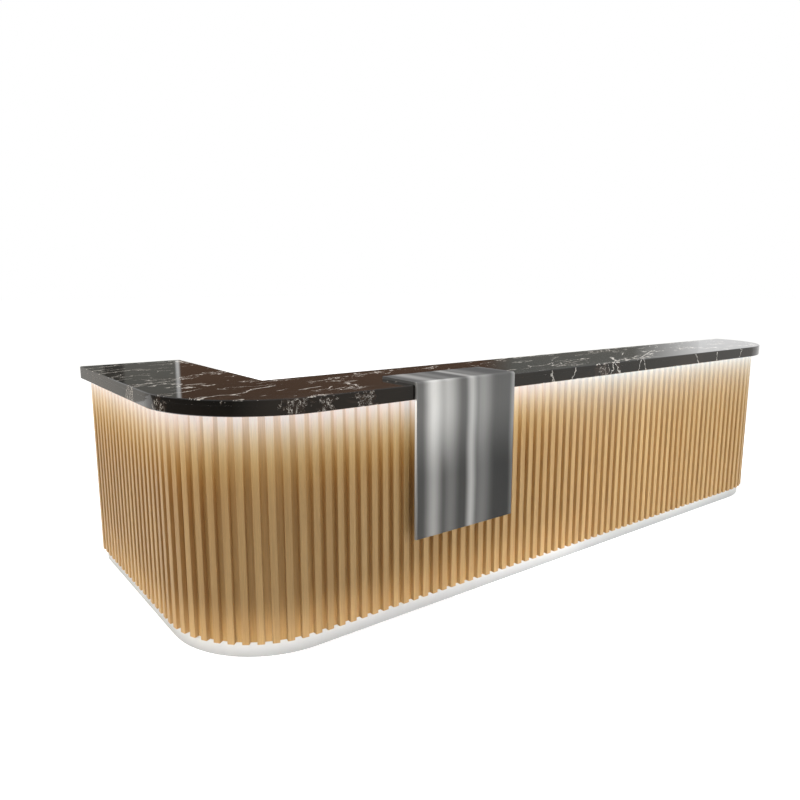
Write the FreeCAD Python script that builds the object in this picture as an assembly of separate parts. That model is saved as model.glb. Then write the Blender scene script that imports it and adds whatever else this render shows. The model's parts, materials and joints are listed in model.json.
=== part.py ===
import FreeCAD, Part
import math
import os
from FreeCAD import Vector

# Service counter in millimetres: an L in plan, with a long front arm and a short return on its left.
# Plan coordinates: u runs along the customer front from the outer left edge of the worktop,
# v runs from the worktop's front edge towards the staff, and z is the height above the floor.

# Worktop
TOP_LENGTH = 4100.0
RETURN_LENGTH = 1472.0
TOP_DEPTH = 490.0
HEIGHT = 1000.0
CORNER_RADIUS = 480.0
END_RADIUS = 480.0
SLAB = 20.0
EDGE_DROP = 60.0
APRON = 20.0
ARRIS = 3.0
SUBSTRATE = 18.0
LEFT_SLAB_LENGTH = 2050.0

# Slatted wall, its backing and the plinth
SLAT_INSET = 43.0
SLAT_WIDTH = 28.0
SLAT_DEPTH = 21.0
SLAT_CHAMFER = 1.5
SLAT_PITCH = 53.2
CORNER_DIVISIONS = 12
BACKING = 9.0
PLINTH_HEIGHT = 60.0
PLINTH = 18.0
TOE_RECESS = 50.0

# Carcass
BOARD = 18.0
STAFF_SETBACK = 2.0
RAIL_DROP = 4.0
OPEN_BAYS = 3
CUPBOARD_BAY = 800.0
DRAWER_BAY = 500.0
RETURN_BAYS = 2
SHELVES_PER_BAY = 2
SHELF_SETBACK = 10.0
CUPBOARD_SHELF_SETBACK = 60.0
FOOT_PAD_RADIUS = 25.0
FOOT_PAD = 10.0
FOOT_STEM_RADIUS = 9.0

# Light under the worktop's overhang
CHANNEL_WIDTH = 16.0
CHANNEL_DEPTH = 8.0
CHANNEL_WALL = 1.2
DIFFUSER = 1.5
STRIP_WIDTH = 10.0
STRIP = 0.6
DRIVER_LENGTH = 160.0
DRIVER_WIDTH = 44.0
DRIVER_HEIGHT = 30.0
DRIVER_CORNER_GAP = 60.0
DRIVER_EAR = 12.0
DRIVER_EAR_THICKNESS = 2.0
GLAND_RADIUS = 6.0
GLAND_BORE = 3.0
GLAND_LENGTH = 14.0

# Folded steel sign tray over the front edge
SIGN_LEFT = 913.0
SIGN_WIDTH = 556.0
SIGN_FLANGE = 222.0
SIGN_DROP = 657.0
SIGN_PANEL = 12.0
SIGN_BEND = 10.0
SIGN_SHEET = 1.5

# Doors, drawers and their fittings
FRONT_GAP = 3.0
HINGE_LEAF = 1.5
HINGE_PLAY = 0.4
HINGE_HEIGHT = 76.0
HINGE_DEPTH = 28.0
HINGE_INSET = 90.0
KNUCKLE_RADIUS = 4.0
KNUCKLE_PLAY = 0.3
KNUCKLE_CLEARANCE = 0.6
PIN_RADIUS = 2.0
PIN_PLAY = 0.05
HANDLE_LENGTH = 140.0
HANDLE_REACH = 32.0
HANDLE_WIDTH = 12.0
HANDLE_BAR = 6.0
HANDLE_BEND = 14.0
DOOR_HANDLE_INSET = 40.0
DRAWERS = 3
DRAWER_BOARD = 12.0
DRAWER_BOTTOM = 6.0
DRAWER_GROOVE = 6.0
DRAWER_BACK_CLEARANCE = 27.0
DRAWER_BOX_RISE = 15.0
DRAWER_BOX_DROP = 60.0
RUNNER_GAP = 13.0
RUNNER_HALF_HEIGHT = 22.5
RUNNER_RISE = 50.0
RUNNER_SHEET = 1.2
RUNNER_PLAY = 0.3
RUNNER_OUTER_FLANGE = 9.0

# Levels
SLAB_BOTTOM = HEIGHT - SLAB
CARCASS_TOP = SLAB_BOTTOM - SUBSTRATE
APRON_BOTTOM = HEIGHT - EDGE_DROP
RAIL_BOTTOM = APRON_BOTTOM - RAIL_DROP
BASE_TOP = PLINTH_HEIGHT + BOARD

# Faces, measured in from the worktop's edge
WALL_FACE = SLAT_INSET + SLAT_DEPTH
CARCASS_FACE = WALL_FACE + BACKING
STAFF_LINE = TOP_DEPTH - APRON
STAFF_FACE = STAFF_LINE - STAFF_SETBACK
FRONT_END = TOP_LENGTH - END_RADIUS
WALL_PANEL_FACE = RETURN_LENGTH - BOARD

# The origin is on the floor under the middle of the whole outline, sign included
ORIGIN = Vector(TOP_LENGTH / 2, (RETURN_LENGTH - SIGN_PANEL) / 2, 0)
UP = Vector(0, 0, 1)

# The four stretches of the customer side, as windows in plan
RUNS = {
    "return": (0, CORNER_RADIUS, CORNER_RADIUS, RETURN_LENGTH),
    "corner": (0, CORNER_RADIUS, 0, CORNER_RADIUS),
    "front": (CORNER_RADIUS, FRONT_END, 0, TOP_DEPTH),
    "end": (FRONT_END, TOP_LENGTH, 0, TOP_DEPTH),
}


def box(u0, u1, v0, v1, z0, z1):
    return Part.makeBox(u1 - u0, v1 - v0, z1 - z0, Vector(u0, v0, z0))


def cylinder(radius, u, v, z0, z1):
    return Part.makeCylinder(radius, z1 - z0, Vector(u, v, z0))


def polygon_face(points):
    return Part.Face(Part.makePolygon(points + points[:1]))


def hexagon(radius, u, v, z0, z1):
    corners = []
    for side in range(6):
        turn = math.radians(60 * side)
        corners.append(Vector(u + radius * math.cos(turn), v + radius * math.sin(turn), z0))
    return polygon_face(corners).extrude(UP * (z1 - z0))


def write(node, *pieces):
    """Export the solids of one node, moved to the part's own origin."""
    solids = [solid for piece in pieces for solid in piece.Solids]
    shape = solids[0] if len(solids) == 1 else Part.makeCompound(solids)
    shape.translated(-ORIGIN).exportStep(f"parts/{node}.step")


def plan_face(inset, staff):
    """The L in plan, set in from the customer edge by inset and ending at the staff line."""
    corner = Vector(CORNER_RADIUS, CORNER_RADIUS, 0)
    corner_reach = CORNER_RADIUS - inset
    diagonal = corner_reach * math.sqrt(0.5)
    end = Vector(FRONT_END, END_RADIUS, 0)
    end_reach = END_RADIUS - inset
    stop = math.asin(min(0.0, (staff - END_RADIUS) / end_reach))
    half = (stop - math.pi / 2) / 2
    wall_outer = Vector(inset, RETURN_LENGTH, 0)
    corner_start = Vector(inset, CORNER_RADIUS, 0)
    corner_stop = Vector(CORNER_RADIUS, inset, 0)
    end_start = Vector(FRONT_END, inset, 0)
    end_middle = end + Vector(math.cos(half), math.sin(half), 0) * end_reach
    end_stop = end + Vector(math.cos(stop), math.sin(stop), 0) * end_reach
    end_corner = Vector(end_stop.x, staff, 0)
    inner_corner = Vector(staff, staff, 0)
    wall_inner = Vector(staff, RETURN_LENGTH, 0)
    edges = [
        Part.LineSegment(wall_outer, corner_start).toShape(),
        Part.Arc(corner_start, corner - Vector(diagonal, diagonal, 0), corner_stop).toShape(),
        Part.LineSegment(corner_stop, end_start).toShape(),
        Part.Arc(end_start, end_middle, end_stop).toShape(),
    ]
    if staff > END_RADIUS:
        edges.append(Part.LineSegment(end_stop, end_corner).toShape())
    edges += Part.makePolygon([end_corner, inner_corner, wall_inner, wall_outer]).Edges
    return Part.Face(Part.Wire(edges))


def inside(inset, z0, z1, staff=STAFF_FACE):
    face = plan_face(inset, staff).translated(UP * z0)
    return face.extrude(UP * (z1 - z0))


def skin(outer, inner, z0, z1, staff=STAFF_FACE):
    """A wall that follows the whole customer side between two insets."""
    return inside(outer, z0, z1, staff).cut(inside(inner, z0, z1, staff))


def run_of(shape, name):
    return shape.common(box(*RUNS[name], 0, HEIGHT))


def outer_edges(shape, z, staff):
    """Edges at height z that lie on the worktop's own outline, apart from the end at the wall."""
    outline = plan_face(0, staff).OuterWire.translated(UP * z)
    chosen = []
    for edge in shape.Edges:
        middle = edge.valueAt((edge.FirstParameter + edge.LastParameter) / 2)
        at_wall = abs(middle.y - RETURN_LENGTH) < ARRIS
        on_outline = outline.distToShape(Part.Vertex(middle))[0] < 0.001
        if on_outline and not at_wall and edge.BoundBox.ZLength < 0.001:
            chosen.append(edge)
    return chosen


def build_worktop():
    """Stone slabs on a ply substrate, with an edge apron that hides the light."""
    slab = inside(0, SLAB_BOTTOM, HEIGHT, TOP_DEPTH)
    slab = slab.makeChamfer(ARRIS, outer_edges(slab, HEIGHT, TOP_DEPTH))
    front_arm = box(0, TOP_LENGTH, 0, TOP_DEPTH, 0, HEIGHT)
    left = box(0, LEFT_SLAB_LENGTH, 0, TOP_DEPTH, 0, HEIGHT)
    write("worktop_return", slab.cut(front_arm))
    write("worktop_corner", slab.common(left))
    write("worktop_end", slab.common(front_arm).cut(left))

    edge = skin(0, APRON, APRON_BOTTOM, SLAB_BOTTOM, TOP_DEPTH)
    for name in RUNS:
        piece = run_of(edge, name)
        write(f"apron_{name}", piece.makeChamfer(ARRIS, outer_edges(piece, APRON_BOTTOM, TOP_DEPTH)))
    staff_front = box(STAFF_LINE, TOP_LENGTH, STAFF_LINE, TOP_DEPTH, APRON_BOTTOM, SLAB_BOTTOM)
    staff_return = box(STAFF_LINE, TOP_DEPTH, TOP_DEPTH, RETURN_LENGTH, APRON_BOTTOM, SLAB_BOTTOM)
    inner = inside(APRON, APRON_BOTTOM, SLAB_BOTTOM, TOP_DEPTH)
    write("apron_staff", staff_front.common(inner), staff_return)

    deck = inside(APRON, CARCASS_TOP, SLAB_BOTTOM, STAFF_LINE)
    front_deck = box(0, TOP_LENGTH, 0, STAFF_LINE, 0, HEIGHT)
    write("substrate", deck.common(front_deck), deck.cut(front_deck))


def slat():
    """One upright slat with eased front edges, its face on v = 0 and its middle on u = 0."""
    half = SLAT_WIDTH / 2
    points = [
        Vector(-half, SLAT_DEPTH, PLINTH_HEIGHT),
        Vector(-half, SLAT_CHAMFER, PLINTH_HEIGHT),
        Vector(-half + SLAT_CHAMFER, 0, PLINTH_HEIGHT),
        Vector(half - SLAT_CHAMFER, 0, PLINTH_HEIGHT),
        Vector(half, SLAT_CHAMFER, PLINTH_HEIGHT),
        Vector(half, SLAT_DEPTH, PLINTH_HEIGHT),
    ]
    return polygon_face(points).extrude(UP * (CARCASS_TOP - PLINTH_HEIGHT))


def turned_slat(u, v, degrees):
    piece = slat()
    piece.rotate(Vector(0, 0, 0), UP, degrees)
    return piece.translated(Vector(u, v, 0))


def build_slats():
    """Slats at one pitch along the straights and on equal angles round both ends."""
    divisions = round((FRONT_END - CORNER_RADIUS) / SLAT_PITCH)
    pitch = (FRONT_END - CORNER_RADIUS) / divisions
    front = [turned_slat(CORNER_RADIUS + i * pitch, SLAT_INSET, 0) for i in range(divisions + 1)]
    write("slats_front", *front)

    room = RETURN_LENGTH - CORNER_RADIUS - SLAT_WIDTH / 2
    steps = round(room / SLAT_PITCH)
    pitch = room / steps
    side = [turned_slat(SLAT_INSET, CORNER_RADIUS + i * pitch, -90) for i in range(steps + 1)]
    write("slats_return", *side)

    corner = []
    end = []
    corner_reach = CORNER_RADIUS - SLAT_INSET
    end_reach = END_RADIUS - SLAT_INSET
    for i in range(1, CORNER_DIVISIONS):
        degrees = 90.0 * i / CORNER_DIVISIONS
        across = math.sin(math.radians(degrees))
        along = math.cos(math.radians(degrees))
        corner.append(turned_slat(CORNER_RADIUS - corner_reach * across,
                                  CORNER_RADIUS - corner_reach * along, -degrees))
        reach = END_RADIUS - end_reach * along + SLAT_WIDTH / 2
        if reach < STAFF_FACE:
            end.append(turned_slat(FRONT_END + end_reach * across,
                                   END_RADIUS - end_reach * along, degrees))
    write("slats_corner", *corner)
    write("slats_end", *end)


def build_wall():
    """Bent backing that carries the slats, and the plinth under it."""
    backing = skin(WALL_FACE, CARCASS_FACE, PLINTH_HEIGHT, CARCASS_TOP)
    plinth = skin(WALL_FACE, WALL_FACE + PLINTH, 0, PLINTH_HEIGHT)
    for name in RUNS:
        write(f"backing_{name}", run_of(backing, name))
        write(f"plinth_{name}", run_of(plinth, name))

    kick_outer = STAFF_FACE - TOE_RECESS
    kick_inner = kick_outer - PLINTH
    wall_kick = RETURN_LENGTH - PLINTH
    room = inside(WALL_FACE + PLINTH, 0, PLINTH_HEIGHT)
    front_kick = box(kick_inner, TOP_LENGTH, kick_inner, kick_outer, 0, PLINTH_HEIGHT)
    return_kick = box(kick_inner, kick_outer, kick_outer, wall_kick, 0, PLINTH_HEIGHT)
    end_kick = box(WALL_FACE + PLINTH, kick_outer, wall_kick, RETURN_LENGTH, 0, PLINTH_HEIGHT)
    write("plinth_staff", front_kick.common(room), return_kick, end_kick)


def front_bays():
    """Clear spans in u of the front arm's bays, from the inner corner to the rounded end."""
    length = FRONT_END - BOARD - STAFF_FACE
    boards = (OPEN_BAYS + 1) * BOARD
    open_bay = (length - CUPBOARD_BAY - DRAWER_BAY - boards) / OPEN_BAYS
    spans = []
    start = STAFF_FACE
    for width in (open_bay, CUPBOARD_BAY, open_bay, DRAWER_BAY, open_bay):
        spans.append((start, start + width))
        start += width + BOARD
    return spans


def return_bays():
    """Clear spans in v of the return's bays, from the inner corner to the wall panel."""
    start = STAFF_FACE + BOARD
    width = (WALL_PANEL_FACE - start - (RETURN_BAYS - 1) * BOARD) / RETURN_BAYS
    return [(start + i * (width + BOARD), start + i * (width + BOARD) + width)
            for i in range(RETURN_BAYS)]


OPEN_LEFT, CUPBOARD, OPEN_MIDDLE, DRAWER_BANK, OPEN_RIGHT = front_bays()


def shelf_levels():
    step = (RAIL_BOTTOM - BASE_TOP - SHELVES_PER_BAY * BOARD) / (SHELVES_PER_BAY + 1)
    return [BASE_TOP + (i + 1) * step + i * BOARD for i in range(SHELVES_PER_BAY)]


def build_carcass():
    """Base boards, gables, rails and shelves behind the wall."""
    room = inside(CARCASS_FACE, PLINTH_HEIGHT, CARCASS_TOP)
    base_front = box(0, TOP_LENGTH, 0, STAFF_FACE, PLINTH_HEIGHT, BASE_TOP)
    base_return = box(0, STAFF_FACE, STAFF_FACE, WALL_PANEL_FACE, PLINTH_HEIGHT, BASE_TOP)
    write("base_boards", room.common(base_front), room.common(base_return))

    gables = [box(span[0] - BOARD, span[0], 0, STAFF_FACE, BASE_TOP, CARCASS_TOP)
              for span in front_bays()]
    gables.append(box(FRONT_END - BOARD, FRONT_END, 0, STAFF_FACE, BASE_TOP, CARCASS_TOP))
    write("gables_front", *[room.common(gable) for gable in gables])
    gables = [box(0, STAFF_FACE, span[0] - BOARD, span[0], BASE_TOP, CARCASS_TOP)
              for span in return_bays()]
    write("gables_return", *[room.common(gable) for gable in gables])

    back = STAFF_FACE - BOARD
    end_panel = box(FRONT_END, TOP_LENGTH, back, STAFF_FACE, BASE_TOP, CARCASS_TOP)
    write("end_rear_panel", room.common(end_panel))
    wall_panel = box(0, STAFF_FACE, WALL_PANEL_FACE, RETURN_LENGTH, PLINTH_HEIGHT, CARCASS_TOP)
    write("wall_end_panel", room.common(wall_panel))

    rails = [box(span[0], span[1], back, STAFF_FACE, RAIL_BOTTOM, CARCASS_TOP)
             for span in front_bays()]
    rails += [box(back, STAFF_FACE, span[0], span[1], RAIL_BOTTOM, CARCASS_TOP)
              for span in return_bays()]
    write("top_rails", *rails)

    lip = STAFF_FACE - SHELF_SETBACK
    shelves = []
    for level in shelf_levels():
        for span in (OPEN_LEFT, OPEN_MIDDLE, OPEN_RIGHT):
            shelves.append(room.common(box(span[0], span[1], 0, lip, level, level + BOARD)))
        for span in return_bays():
            shelves.append(room.common(box(0, lip, span[0], span[1], level, level + BOARD)))
    write("open_shelves", *shelves)

    middle = (BASE_TOP + RAIL_BOTTOM - BOARD) / 2
    depth = back - CUPBOARD_SHELF_SETBACK
    shelf = box(CUPBOARD[0], CUPBOARD[1], 0, depth, middle, middle + BOARD)
    write("cupboard_shelf", room.common(shelf))


def build_feet():
    """Hexagon adjusters under the front gables and return bays, midway between the plinth boards."""
    middle = (WALL_FACE + STAFF_FACE - TOE_RECESS) / 2
    places = [(span[0] - BOARD / 2, middle) for span in front_bays()]
    places.append((FRONT_END - BOARD / 2, middle))
    places += [(middle, (span[0] + span[1]) / 2) for span in return_bays()]
    feet = []
    for u, v in places:
        pad = hexagon(FOOT_PAD_RADIUS, u, v, 0, FOOT_PAD)
        feet.append(pad.fuse(hexagon(FOOT_STEM_RADIUS, u, v, FOOT_PAD, PLINTH_HEIGHT)))
    write("levelling_feet", *feet)


def build_light():
    """Aluminium channel with strip and diffuser in the slot between apron and slats."""
    middle = (APRON + SLAT_INSET) / 2
    outer = middle - CHANNEL_WIDTH / 2
    inner = middle + CHANNEL_WIDTH / 2
    bottom = CARCASS_TOP - CHANNEL_DEPTH
    roof = CARCASS_TOP - CHANNEL_WALL
    hollow = skin(outer + CHANNEL_WALL, inner - CHANNEL_WALL, bottom, roof)
    channel = skin(outer, inner, bottom, CARCASS_TOP).cut(hollow)
    diffuser = skin(outer + CHANNEL_WALL, inner - CHANNEL_WALL, bottom, bottom + DIFFUSER)
    strip = skin(middle - STRIP_WIDTH / 2, middle + STRIP_WIDTH / 2, roof - STRIP, roof)
    write("led_channel", *[run_of(channel, name) for name in RUNS])
    write("led_diffuser", *[run_of(diffuser, name) for name in RUNS])
    write("led_strip", *[run_of(strip, name) for name in RUNS])

    u0 = CARCASS_FACE + DRIVER_CORNER_GAP
    v0 = return_bays()[0][0] + DRIVER_CORNER_GAP
    u1 = u0 + DRIVER_LENGTH
    v1 = v0 + DRIVER_WIDTH
    centre = (v0 + v1) / 2
    level = CARCASS_TOP - DRIVER_HEIGHT / 2
    ear_bottom = CARCASS_TOP - DRIVER_EAR_THICKNESS
    driver = box(u0, u1, v0, v1, CARCASS_TOP - DRIVER_HEIGHT, CARCASS_TOP)
    driver = driver.fuse(box(u0 - DRIVER_EAR, u1 + DRIVER_EAR, v0, v1, ear_bottom, CARCASS_TOP))
    gland_end = Vector(u1, centre, level)
    along = Vector(1, 0, 0)
    driver = driver.fuse(Part.makeCylinder(GLAND_RADIUS, GLAND_LENGTH, gland_end, along))
    driver = driver.cut(Part.makeCylinder(GLAND_BORE, GLAND_LENGTH, gland_end, along))
    write("led_driver", driver.removeSplitter())


def sign_profile(trim):
    """Side view of the sign in the v-z plane, drawn in by trim on every side that shows."""
    top = HEIGHT + SIGN_PANEL - trim
    bottom = HEIGHT + SIGN_PANEL - SIGN_DROP + trim
    face = trim - SIGN_PANEL
    bend = SIGN_BEND - trim
    ease = bend * (1 - math.sqrt(0.5))
    bend_start = Vector(0, face, top - bend)
    bend_stop = Vector(0, face + bend, top)
    outline = [
        bend_stop,
        Vector(0, SIGN_FLANGE - trim, top),
        Vector(0, SIGN_FLANGE - trim, HEIGHT),
        Vector(0, ARRIS, HEIGHT),
        Vector(0, 0, HEIGHT - ARRIS),
        Vector(0, 0, bottom),
        Vector(0, face, bottom),
        bend_start,
    ]
    edges = Part.makePolygon(outline).Edges
    edges.append(Part.Arc(bend_start, Vector(0, face + ease, top - ease), bend_stop).toShape())
    return Part.Face(Part.Wire(edges))


def build_sign():
    """Bare sheet tray with turned-in rims: a flange on the worktop and a drop down the front."""
    outer = sign_profile(0).translated(Vector(SIGN_LEFT, 0, 0))
    inner = sign_profile(SIGN_SHEET).translated(Vector(SIGN_LEFT + SIGN_SHEET, 0, 0))
    tray = outer.extrude(Vector(SIGN_WIDTH, 0, 0))
    write("sign_panel", tray.cut(inner.extrude(Vector(SIGN_WIDTH - 2 * SIGN_SHEET, 0, 0))))


def handle_profile():
    """Bent flat bar in the s-t plane: s along the handle, t out from the face it stands on."""
    half = HANDLE_LENGTH / 2
    loops = []
    for trim, bend in ((0, HANDLE_BEND), (HANDLE_BAR, HANDLE_BEND - HANDLE_BAR)):
        end = half - trim
        reach = HANDLE_REACH - trim
        ease = bend * (1 - math.sqrt(0.5))
        loops.append([
            Vector(-end, 0, 0),
            Vector(-end, reach - bend, 0),
            Vector(-end + ease, reach - ease, 0),
            Vector(-end + bend, reach, 0),
            Vector(end - bend, reach, 0),
            Vector(end - ease, reach - ease, 0),
            Vector(end, reach - bend, 0),
            Vector(end, 0, 0),
        ])
    edges = []
    for a, b, c, d, e, f, g, h in loops:
        edges.append(Part.LineSegment(a, b).toShape())
        edges.append(Part.Arc(b, c, d).toShape())
        edges.append(Part.LineSegment(d, e).toShape())
        edges.append(Part.Arc(e, f, g).toShape())
        edges.append(Part.LineSegment(g, h).toShape())
    outer, inner = loops
    edges.append(Part.LineSegment(outer[0], inner[0]).toShape())
    edges.append(Part.LineSegment(inner[-1], outer[-1]).toShape())
    return Part.Face(Part.Wire(Part.__sortEdges__(edges)))


def handle(u, z, upright):
    bar = handle_profile().extrude(UP * HANDLE_WIDTH).translated(UP * (-HANDLE_WIDTH / 2))
    if upright:
        bar.rotate(Vector(0, 0, 0), Vector(0, 1, 0), 90)
    return bar.translated(Vector(u, STAFF_FACE, z))


def hinge(z0):
    """Lift-off hinge on the gable at u = 0: fixed leaf below, moving leaf on the door's edge, and pin."""
    axis_u = HINGE_LEAF + HINGE_PLAY / 2
    axis_v = STAFF_FACE + KNUCKLE_RADIUS + KNUCKLE_CLEARANCE
    z1 = z0 + HINGE_HEIGHT
    middle = (z0 + z1) / 2
    back = STAFF_FACE - HINGE_DEPTH
    far = 2 * HINGE_LEAF + HINGE_PLAY
    sweep = KNUCKLE_RADIUS + KNUCKLE_PLAY
    bore = cylinder(PIN_RADIUS + PIN_PLAY, axis_u, axis_v, z0, z1)
    lower = cylinder(KNUCKLE_RADIUS, axis_u, axis_v, z0, middle - KNUCKLE_PLAY / 2)
    upper = cylinder(KNUCKLE_RADIUS, axis_u, axis_v, middle + KNUCKLE_PLAY / 2, z1)
    fixed = box(0, HINGE_LEAF, back, axis_v, z0, z1).cut(cylinder(sweep, axis_u, axis_v, middle, z1))
    moving = box(far - HINGE_LEAF, far, back, axis_v, z0, z1)
    moving = moving.cut(cylinder(sweep, axis_u, axis_v, z0, middle))
    pin = cylinder(PIN_RADIUS, axis_u, axis_v, z0, z1)
    return fixed.fuse(lower).cut(bore), moving.fuse(upper).cut(bore), pin


def build_cupboard():
    """Two inset doors on lift-off hinges, modelled on the left and mirrored for the right."""
    side_gap = 2 * HINGE_LEAF + HINGE_PLAY
    width = (CUPBOARD[1] - CUPBOARD[0] - FRONT_GAP) / 2 - side_gap
    left = CUPBOARD[0] + side_gap
    bottom = BASE_TOP + FRONT_GAP
    top = RAIL_BOTTOM - FRONT_GAP
    door = box(left, left + width, STAFF_FACE - BOARD, STAFF_FACE, bottom, top)
    pull = handle(left + width - DOOR_HANDLE_INSET, (bottom + top) / 2, True)
    fixed_leaves = []
    moving_leaves = []
    pins = []
    for z in (bottom + HINGE_INSET, top - HINGE_INSET - HINGE_HEIGHT):
        fixed, moving, pin = [piece.translated(Vector(CUPBOARD[0], 0, 0)) for piece in hinge(z)]
        fixed_leaves.append(fixed)
        moving_leaves.append(moving)
        pins.append(pin)

    middle = Vector((CUPBOARD[0] + CUPBOARD[1]) / 2, 0, 0)
    across = Vector(1, 0, 0)

    def mirrored(pieces):
        return [piece.mirror(middle, across) for piece in pieces]

    write("hinge_leaves_fixed", *fixed_leaves, *mirrored(fixed_leaves))
    write("hinge_pins", *pins, *mirrored(pins))
    write("door_left", door)
    write("door_left_handle", pull)
    write("door_left_hinges", *moving_leaves)
    write("door_right", *mirrored([door]))
    write("door_right_handle", *mirrored([pull]))
    write("door_right_hinges", *mirrored(moving_leaves))


def channel_profile(web, toe, half_height):
    """A sheet C in the u-z plane: its web starts at u = web and its flanges end at u = toe."""
    out = math.copysign(RUNNER_SHEET, toe - web)
    tip = half_height - RUNNER_SHEET
    points = [
        Vector(web, 0, -half_height),
        Vector(toe, 0, -half_height),
        Vector(toe, 0, -tip),
        Vector(web + out, 0, -tip),
        Vector(web + out, 0, tip),
        Vector(toe, 0, tip),
        Vector(toe, 0, half_height),
        Vector(web, 0, half_height),
    ]
    return polygon_face(points)


def runner(z, length):
    """Full-extension runner beside a gable at u = 0: fixed, middle and drawer members, nested."""
    step = RUNNER_SHEET + RUNNER_PLAY
    profiles = (
        channel_profile(0, RUNNER_OUTER_FLANGE, RUNNER_HALF_HEIGHT),
        channel_profile(step, RUNNER_GAP - step, RUNNER_HALF_HEIGHT - step),
        channel_profile(RUNNER_GAP, 2 * step + RUNNER_SHEET, RUNNER_HALF_HEIGHT - 2 * step),
    )
    start = Vector(0, STAFF_FACE - BOARD - length, z)
    return [face.translated(start).extrude(Vector(0, length, 0)) for face in profiles]


def drawer_box(u0, u1, v0, v1, z0, z1):
    """Two sides, a back and an inner front, grooved for a loose bottom."""
    left = box(u0, u0 + DRAWER_BOARD, v0, v1, z0, z1)
    right = box(u1 - DRAWER_BOARD, u1, v0, v1, z0, z1)
    back = box(u0 + DRAWER_BOARD, u1 - DRAWER_BOARD, v0, v0 + DRAWER_BOARD, z0, z1)
    front = box(u0 + DRAWER_BOARD, u1 - DRAWER_BOARD, v1 - DRAWER_BOARD, v1, z0, z1)
    rim = DRAWER_BOARD - DRAWER_GROOVE
    low = z0 + DRAWER_BOARD
    bottom = box(u0 + rim, u1 - rim, v0 + rim, v1 - rim, low, low + DRAWER_BOTTOM)
    return [board.cut(bottom) for board in (left, right, back, front)] + [bottom]


def build_drawers():
    """A bank of equal drawers, counted from the top, on telescopic runners."""
    length = STAFF_FACE - BOARD - CARCASS_FACE - DRAWER_BACK_CLEARANCE
    height = (RAIL_BOTTOM - BASE_TOP - (DRAWERS + 1) * FRONT_GAP) / DRAWERS
    left, right = DRAWER_BANK
    middle = Vector((left + right) / 2, 0, 0)
    across = Vector(1, 0, 0)
    fixed_members = []
    for number in range(1, DRAWERS + 1):
        top = RAIL_BOTTOM - FRONT_GAP - (number - 1) * (height + FRONT_GAP)
        bottom = top - height
        front = box(left + FRONT_GAP, right - FRONT_GAP, STAFF_FACE - BOARD, STAFF_FACE, bottom, top)
        boards = drawer_box(left + RUNNER_GAP, right - RUNNER_GAP, STAFF_FACE - BOARD - length,
                            STAFF_FACE - BOARD, bottom + DRAWER_BOX_RISE, top - DRAWER_BOX_DROP)
        members = runner(bottom + DRAWER_BOX_RISE + RUNNER_RISE, length)
        fixed, sliding, carried = [piece.translated(Vector(left, 0, 0)) for piece in members]
        fixed_members += [fixed, fixed.mirror(middle, across)]
        write(f"drawer_{number}_front", front)
        write(f"drawer_{number}_box", *boards)
        write(f"drawer_{number}_handle", handle(middle.x, (bottom + top) / 2, False))
        write(f"drawer_{number}_runner_inner", carried, carried.mirror(middle, across))
        write(f"drawer_{number}_runner_middle", sliding, sliding.mirror(middle, across))
    write("runner_outer_members", *fixed_members)


os.makedirs("parts", exist_ok=True)
build_worktop()
build_slats()
build_wall()
build_carcass()
build_feet()
build_light()
build_sign()
build_cupboard()
build_drawers()
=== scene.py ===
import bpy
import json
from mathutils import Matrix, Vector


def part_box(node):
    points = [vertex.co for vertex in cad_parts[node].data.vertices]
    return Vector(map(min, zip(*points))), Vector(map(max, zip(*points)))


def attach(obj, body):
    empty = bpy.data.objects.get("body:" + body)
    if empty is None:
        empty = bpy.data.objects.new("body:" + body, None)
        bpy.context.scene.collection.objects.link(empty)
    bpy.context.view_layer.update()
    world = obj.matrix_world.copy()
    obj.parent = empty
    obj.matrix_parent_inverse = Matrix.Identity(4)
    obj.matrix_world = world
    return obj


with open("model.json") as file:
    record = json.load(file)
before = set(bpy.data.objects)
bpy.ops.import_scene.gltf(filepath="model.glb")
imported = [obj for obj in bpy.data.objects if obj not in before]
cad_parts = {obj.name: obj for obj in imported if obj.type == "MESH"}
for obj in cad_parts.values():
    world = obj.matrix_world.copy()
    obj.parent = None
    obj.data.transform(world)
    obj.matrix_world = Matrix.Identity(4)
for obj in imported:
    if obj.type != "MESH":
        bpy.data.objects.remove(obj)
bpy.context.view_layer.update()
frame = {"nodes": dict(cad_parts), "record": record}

import json
import math

import bmesh
import bpy
from mathutils import Vector

NODES = frame["nodes"]

# Camera, at the photograph's viewing angle. The focal length is in pixels of an 800 pixel wide frame.
FRAME_PIXELS = 800
FOCAL_PIXELS = 688.494
SENSOR_MM = 36.0
CAMERA_PLACE = (-2.8185, -2.8527, 1.4005)
CAMERA_YAW = math.radians(37.127)
CAMERA_PITCH = math.radians(9.655)
CAMERA_REACH = 200

# Levels that the finishes follow, read from the frame
APRON_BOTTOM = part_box("apron_front")[0].z
SLAT_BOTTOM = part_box("slats_front")[0].z
SIGN_LOW, SIGN_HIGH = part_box("sign_panel")

BLACK = (0, 0, 0, 1)
WHITE = (1, 1, 1, 1)
# Shares of its normal along an axis at which a face starts to count as looking along it, and fully does
LOOKING_ALONG = (0.4, 0.6)


def srgb(red, green, blue):
    """A colour written in 8-bit screen values, as the linear colour that shaders take."""
    def linear(value):
        share = value / 255
        return share / 12.92 if share <= 0.04045 else ((share + 0.055) / 1.055) ** 2.4
    return (linear(red), linear(green), linear(blue), 1.0)


def shaded(colour, share):
    """A colour made darker, or lighter where share is over 1."""
    return tuple(min(1.0, share * channel) for channel in colour[:3]) + (1.0,)


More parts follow.
